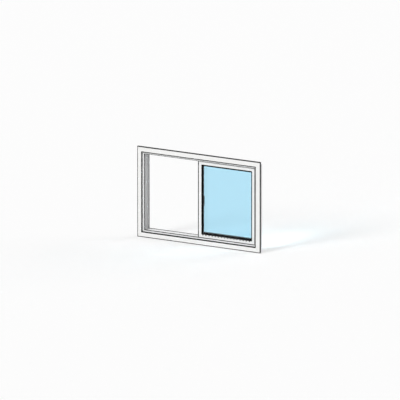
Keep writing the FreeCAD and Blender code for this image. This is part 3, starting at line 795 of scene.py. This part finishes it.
def lie_on_glass(name, left, right, foot, head, glass, towards, lip_width):
    """A bead's lip: a flat ring along the bead, thinned off to its free edge. It lies in front of the glass
    where towards is -1 and behind it where that is 1."""
    edge = bead_cover - lip_root
    near = glass + towards * lip_play
    far = glass + towards * lip_thick
    ring = rectangle_ring(
        name, left + edge, right - edge, foot + edge, head - edge, lip_root + lip_width, near, far
    )
    reach = bead_cover + lip_root

    def on_free_edge(spot):
        inside = left + reach < spot.x < right - reach and foot + reach < spot.z < head - reach
        return inside and near_to(spot.y, far)

    bevel_where(ring, on_free_edge, lip_thick * 0.8, 3)
    finish_piece(ring, bead_rubber, "black_rubber")


for sash, left, right, foot, head, outer_face, lip_width in (
    ("fixed_sash", 0.019, 0.884, 0.151, 1.189, 0.040, 0.008),
    ("sliding_sash", -0.009, 0.856, 0.155, 1.193, 0.094, 0.003),
):
    dress(clear_glass, f"{sash}_outer_pane", f"{sash}_inner_pane")
    dress(bead_rubber, f"{sash}_outer_beads", f"{sash}_inner_beads")
    dress(sealant, f"{sash}_edge_sealant")
    dress(spacer_metal(f"{sash}_spacer_metal", outer_face + unit_deep / 2), f"{sash}_spacer")
    lie_on_glass(f"{sash}_outer_lip", left, right, foot, head, outer_face, -1, lip_width)
    lie_on_glass(f"{sash}_inner_lip", left, right, foot, head, outer_face + unit_deep, 1, lip_width)


# Lip seals: black rubber pressed on the tips of the frame's two lips, all round the opening. The outer one
# laps onto the frame's face as a drip edge, and the inner one wipes the room side of the sliding sash.

lip_half = 0.943
lip_foot = 0.107
lip_head = 1.243
frame_face = -0.003
outer_seal_tip = 0.0035
outer_seal_lap = 0.0025
outer_seal_front = -0.0042
outer_seal_back = 0.008
outer_seal_drop = 0.002
outer_seal_round = 0.0009
inner_seal_tip = 0.005
inner_seal_front = 0.1213
inner_seal_back = 0.1315
inner_seal_round = 0.0012

outer_seal = rectangle_ring(
    "outer_lip_seal",
    -lip_half - outer_seal_lap,
    lip_half + outer_seal_lap,
    lip_foot - outer_seal_lap,
    lip_head + outer_seal_lap,
    outer_seal_lap,
    outer_seal_front,
    frame_face,
    outer_seal_tip,
)


def behind_tip(face):
    """Whether a face is a back one of the band that covers the lip's tip."""
    middle = face.center
    on_tip = abs(middle.x) < lip_half and lip_foot < middle.z < lip_head
    return on_tip and near_to(middle.y, frame_face)


edit_where(outer_seal, "FACE", behind_tip)
bpy.ops.mesh.extrude_region_move(TRANSFORM_OT_translate={"value": (0, outer_seal_back - frame_face, 0)})
bpy.ops.object.mode_set(mode="OBJECT")
outer_seal_foot = lip_foot - outer_seal_lap
shift_where(outer_seal, lambda spot: near_to(spot.z, outer_seal_foot), (0, 0, -outer_seal_drop))
round_free_corner(
    outer_seal,
    lip_half - outer_seal_tip,
    lip_foot + outer_seal_tip,
    lip_head - outer_seal_tip,
    outer_seal_front,
    outer_seal_round,
)
finish_piece(outer_seal, seal_rubber, "black_rubber")

inner_seal = rectangle_ring(
    "inner_lip_seal",
    -lip_half,
    lip_half,
    lip_foot,
    lip_head,
    inner_seal_tip,
    inner_seal_front,
    inner_seal_back,
)
round_free_corner(
    inner_seal,
    lip_half - inner_seal_tip,
    lip_foot + inner_seal_tip,
    lip_head - inner_seal_tip,
    inner_seal_back,
    inner_seal_round,
)
finish_piece(inner_seal, seal_rubber, "black_rubber")


# Pile seals: grey woven pile on a thin backing, stuck along the top and bottom of both faces of each
# sash, so that it brushes the lips and fins of the frame.

pile_tall = 0.005
pile_thick = 0.0017
pile_backing = 0.0006
tuft_inset = 0.0004
tuft_wide = 0.0017
tuft_step = 0.002
tuft_splay = 0.62

grey_pile, shader = new_finish("grey_pile", Roughness=0.95, Sheen_Weight=0.4)
links = grey_pile.node_tree.links
hairs = grain(grey_pile, 0.0006, (1, 6, 1))
tone = shade_between(grey_pile, hairs, (0.05, 0.05, 0.055), (0.16, 0.16, 0.17))
links.new(tone, shader.inputs["Base Color"])
raise_by(grey_pile, shader, hairs, 0.0003)


def block_between(low, high):
    """A block from its lowest to its highest corner."""
    bpy.ops.object.select_all(action="DESELECT")
    low, high = Vector(low), Vector(high)
    bpy.ops.mesh.primitive_cube_add(size=1, location=(low + high) / 2)
    block = bpy.context.object
    block.scale = high - low
    bpy.ops.object.transform_apply(location=True, rotation=True, scale=True)
    return block


def pile_strip(left, right, foot, head, root, tip):
    """A backing strip on the sash's face at root with a row of tufts out to tip."""
    out = math.copysign(1, tip - root)
    back = root + out * pile_backing
    backing = block_between((left, min(root, back), foot), (right, max(root, back), head))
    tuft = block_between(
        (left, min(back, tip), foot + tuft_inset), (left + tuft_wide, max(back, tip), head - tuft_inset)
    )
    edit_where(tuft, "FACE", lambda face: face.normal.y * out > 0.9)
    bpy.ops.transform.resize(value=(tuft_splay, 1, 1))
    bpy.ops.object.mode_set(mode="OBJECT")
    row = tuft.modifiers.new("row", "ARRAY")
    row.use_relative_offset = False
    row.use_constant_offset = True
    row.constant_offset_displace = (tuft_step, 0, 0)
    row.count = int((right - left) / tuft_step)
    bpy.ops.object.modifier_apply(modifier=row.name)
    return join_all([backing, tuft])


for sash in ("fixed_sash", "sliding_sash"):
    node = f"{sash}_pile_seals"
    low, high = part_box(node)
    strips = []
    for foot in (low[2], high[2] - pile_tall):
        for root, tip in ((low[1] + pile_thick, low[1]), (high[1] - pile_thick, high[1])):
            strips.append(pile_strip(low[0], high[0], foot, foot + pile_tall, root, tip))
    pile = join_all(strips)
    pile.name = f"{sash}_pile"
    finish_piece(pile, grey_pile, "grey_pile", node)


# Drip comb: a black rubber strip glued on the fixed sash's bottom rail, right under the glass. A row of
# round teeth along its foot leads the rain off.

comb_left = 0.019
comb_right = 0.884
comb_foot = 0.136
comb_step = 0.1495
comb_head = 0.151
comb_columns = 49
columns_per_tooth = 3
comb_back = 0.022
comb_thick = 0.0022
tooth_round = 0.006

bpy.ops.object.select_all(action="DESELECT")
comb_middle = (comb_foot + comb_head) / 2
bpy.ops.mesh.primitive_grid_add(
    x_subdivisions=comb_columns,
    y_subdivisions=2,
    size=1,
    location=((comb_left + comb_right) / 2, comb_back, comb_middle),
    rotation=(math.radians(90), 0, 0),
)
comb = bpy.context.object
comb.name = "drip_comb"
comb.scale = (comb_right - comb_left, comb_head - comb_foot, 1)
bpy.ops.object.transform_apply(location=True, rotation=True, scale=True)
shift_where(comb, lambda spot: near_to(spot.z, comb_middle), (0, 0, comb_step - comb_middle))
column_wide = (comb_right - comb_left) / comb_columns


def in_gap(face):
    """Whether a face lies between two teeth."""
    column = int((face.center.x - comb_left) / column_wide)
    return face.center.z < comb_step and column % columns_per_tooth != 1


def on_tooth_corner(edge):
    """Whether an edge runs through the strip's thickness at the foot of a tooth."""
    near, far = (comb.data.vertices[end].co for end in edge.vertices)
    return near_to(near.z, comb_foot) and near_to(far.z, comb_foot) and near_to(near.x, far.x)


edit_where(comb, "FACE", in_gap)
bpy.ops.mesh.delete(type="FACE")
bpy.ops.mesh.select_all(action="SELECT")
bpy.ops.mesh.extrude_region_move(TRANSFORM_OT_translate={"value": (0, -comb_thick, 0)})
bpy.ops.mesh.select_all(action="SELECT")
bpy.ops.mesh.normals_make_consistent(inside=False)
bpy.ops.object.mode_set(mode="OBJECT")
edit_where(comb, "EDGE", on_tooth_corner)
bpy.ops.mesh.bevel(offset=tooth_round, segments=6, affect="EDGES")
bpy.ops.object.mode_set(mode="OBJECT")
finish_piece(comb, seal_rubber, "black_rubber")


# Stile buffer: a black rubber strip with a round nose on the free edge of the fixed sash's meeting stile. It
# shuts the gap to the sliding sash and takes its knocks.

stile_edge = -0.025
buffer_wide = 0.015
buffer_near = 0.0225
buffer_far = 0.0385
buffer_foot = 0.092
buffer_head = 1.248
buffer_round = 0.003

stile_buffer = block_between(
    (stile_edge - buffer_wide, buffer_near, buffer_foot), (stile_edge, buffer_far, buffer_head)
)
stile_buffer.name = "stile_buffer"
bevel_where(stile_buffer, lambda spot: near_to(spot.x, stile_edge - buffer_wide), buffer_round, 4)
finish_piece(stile_buffer, seal_rubber, "black_rubber")


# Closing edge: the sliding sash's free stile has a black bulb seal in its groove, which meets the jamb
# when the window is shut. Above and below it are the screws that hold the stile to the two rails.

groove_floor = -0.069
bulb_radius = 0.0036
bulb_from = 0.16
bulb_to = 1.188
seal_base_half = 0.0074
seal_base_thick = 0.0014
seal_base_round = 0.0007
bulb_rind = 0.0009
bulb_bore_deep = 0.02
stile_screw_heights = (0.127, 0.146, 1.202, 1.221)
stile_screw_radius = 0.0036
stile_screw_tall = 0.0022

bpy.ops.object.select_all(action="DESELECT")
bulb_middle = groove_floor - seal_base_thick - bulb_radius * 0.8
bpy.ops.mesh.primitive_cylinder_add(
    vertices=28,
    radius=bulb_radius,
    depth=bulb_to - bulb_from,
    location=(bulb_middle, rear_track, (bulb_from + bulb_to) / 2),
)
bulb = bpy.context.object
bpy.ops.object.transform_apply(location=True, rotation=True, scale=True)
edit_where(bulb, "FACE", lambda face: abs(face.normal.z) > 0.9)
bpy.ops.mesh.inset(thickness=bulb_rind, use_individual=True)
bpy.ops.mesh.inset(thickness=0, depth=-bulb_bore_deep, use_individual=True)
bpy.ops.object.mode_set(mode="OBJECT")
base = block_between(
    (groove_floor - seal_base_thick, rear_track - seal_base_half, bulb_from),
    (groove_floor, rear_track + seal_base_half, bulb_to),
)
bevel_where(base, lambda spot: spot.x < groove_floor - seal_base_thick / 2, seal_base_round, 2)
closing_seal = join_all([base, bulb])
closing_seal.name = "closing_seal"
finish_piece(closing_seal, seal_rubber, "black_rubber")

stile_screws = copies_at(
    pan_head("stile_screws", stile_screw_radius, stile_screw_tall),
    [((groove_floor, rear_track, height), (-1, 0, 0)) for height in stile_screw_heights],
)
finish_piece(stile_screws, zinc_plate, "zinc_steel")


# Rollers: two bent steel housings with steel pins under the sliding sash.

dress(zinc_plate, "roller_housings", "roller_axles")


# Pull handle: one zinc casting in black textured powder coat on the room side of the closing stile. Two
# black screws through its back plate, in reach behind the grip, hold it.

handle_middle = -0.024
plate_face = 0.125
handle_screw_heights = (0.566, 0.673)
handle_screw_radius = 0.0038
handle_screw_tall = 0.0022

handle_black, shader = new_finish("handle_black", Specular_IOR_Level=0.4)
links = handle_black.node_tree.links
texture = grain(handle_black, 0.0011, detail=2)
rub = grain(handle_black, 0.05)
tone = shade_between(handle_black, rub, (0.009, 0.009, 0.01), (0.02, 0.02, 0.021))
links.new(tone, shader.inputs["Base Color"])
links.new(follow(handle_black, rub, 0.3, 0.7, 0.34, 0.5), shader.inputs["Roughness"])
raise_by(handle_black, shader, texture, 0.0001)
dress(handle_black, "pull_handle")

handle_screws = copies_at(
    pan_head("handle_screws", handle_screw_radius, handle_screw_tall),
    [((handle_middle, plate_face, height), (0, 1, 0)) for height in handle_screw_heights],
)
finish_piece(handle_screws, handle_black, "handle_black")
